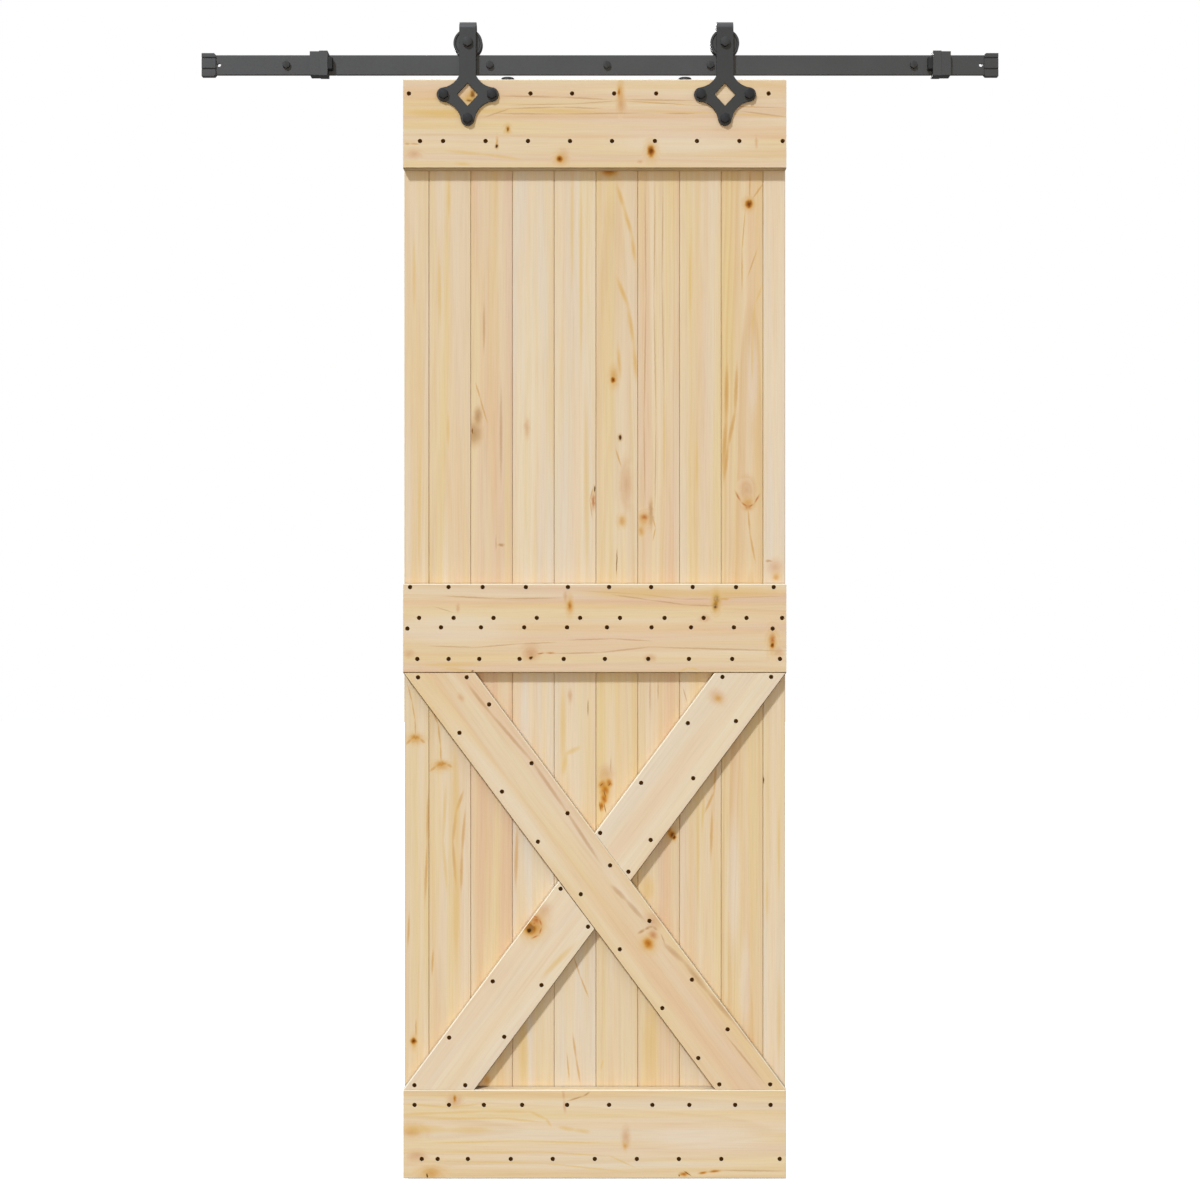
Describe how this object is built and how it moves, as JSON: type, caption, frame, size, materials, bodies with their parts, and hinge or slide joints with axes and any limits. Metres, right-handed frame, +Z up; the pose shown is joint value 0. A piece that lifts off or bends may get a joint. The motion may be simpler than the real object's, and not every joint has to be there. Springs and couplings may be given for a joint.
{
  "type": "sliding barn door",
  "caption": "Sliding barn door of pine planks with front boards and a cross brace, hung by bent strap hangers with grooved wheels on a flat steel rail with stops.",
  "frame": {"origin": "on the wall's face, at the middle of the rail's length and height", "axes": "+X along the rail to the right seen from the front, +Y from the front into the wall, +Z up"},
  "size_m": [1.524, 0.0684, 2.2115],
  "materials": {
    "pine": "planed, unvarnished",
    "powder_coated_steel": "matt powder coat",
    "black_steel": "black oxide",
    "black_nylon": "moulded, matt",
    "rubber": "matt",
    "bright_steel": "bright zinc plate"
  },
  "bodies": {
    "rail": {"rail_bar": "powder_coated_steel", "wall_bolts": "black_steel", "wall_spacers": "powder_coated_steel", "left_end_cap": "black_nylon", "right_end_cap": "black_nylon", "left_stop": "powder_coated_steel", "right_stop": "powder_coated_steel", "left_stop_bumper": "rubber", "right_stop_bumper": "rubber", "stop_set_screws": "black_steel"},
    "door": {"plank_01": "pine", "plank_02": "pine", "plank_03": "pine", "plank_04": "pine", "plank_05": "pine", "plank_06": "pine", "plank_07": "pine", "plank_08": "pine", "plank_09": "pine", "plank_10": "pine", "top_board": "pine", "middle_board": "pine", "bottom_board": "pine", "long_brace": "pine", "upper_half_brace": "pine", "lower_half_brace": "pine", "top_board_screws": "black_steel", "middle_board_screws": "black_steel", "bottom_board_screws": "black_steel", "brace_screws": "black_steel", "left_hanger": "powder_coated_steel", "right_hanger": "powder_coated_steel", "hanger_bolts": "black_steel", "hanger_nuts": "bright_steel", "left_axle_bolt": "black_steel", "right_axle_bolt": "black_steel", "axle_nuts": "black_steel", "axle_bushes": "bright_steel", "bearing_inner_races": "bright_steel", "left_anti_jump_disc": "black_nylon", "right_anti_jump_disc": "black_nylon", "anti_jump_screws": "black_steel"},
    "left_wheel": {"left_wheel": "black_nylon", "left_bearing_outer_race": "bright_steel", "left_bearing_shields": "bright_steel", "left_retaining_ring": "black_steel"},
    "left_cage": {"left_bearing_balls": "bright_steel", "left_ball_cage": "bright_steel"},
    "right_wheel": {"right_wheel": "black_nylon", "right_bearing_outer_race": "bright_steel", "right_bearing_shields": "bright_steel", "right_retaining_ring": "black_steel"},
    "right_cage": {"right_bearing_balls": "bright_steel", "right_ball_cage": "bright_steel"}
  },
  "joints": [
    {"name": "door_slide", "type": "slide", "parent": "rail", "child": "door", "axis": [1, 0, 0], "range_m": [-0.2415, 0.371]},
    {"name": "left_wheel_spin", "type": "hinge", "parent": "door", "child": "left_wheel", "pos_m": [-0.2525, -0.036, 0.0403], "axis": [0, 1, 0], "continuous": true},
    {"name": "left_cage_spin", "type": "hinge", "parent": "door", "child": "left_cage", "pos_m": [-0.2525, -0.036, 0.0403], "axis": [0, 1, 0], "continuous": true},
    {"name": "right_wheel_spin", "type": "hinge", "parent": "door", "child": "right_wheel", "pos_m": [0.2385, -0.036, 0.0403], "axis": [0, 1, 0], "continuous": true},
    {"name": "right_cage_spin", "type": "hinge", "parent": "door", "child": "right_cage", "pos_m": [0.2385, -0.036, 0.0403], "axis": [0, 1, 0], "continuous": true}
  ],
  "couplings": [
    {"joint": "left_wheel_spin", "follows": "door_slide", "rad_per_m": 47.619},
    {"joint": "left_cage_spin", "follows": "door_slide", "rad_per_m": 30.026},
    {"joint": "right_wheel_spin", "follows": "door_slide", "rad_per_m": 47.619},
    {"joint": "right_cage_spin", "follows": "door_slide", "rad_per_m": 30.026}
  ]
}
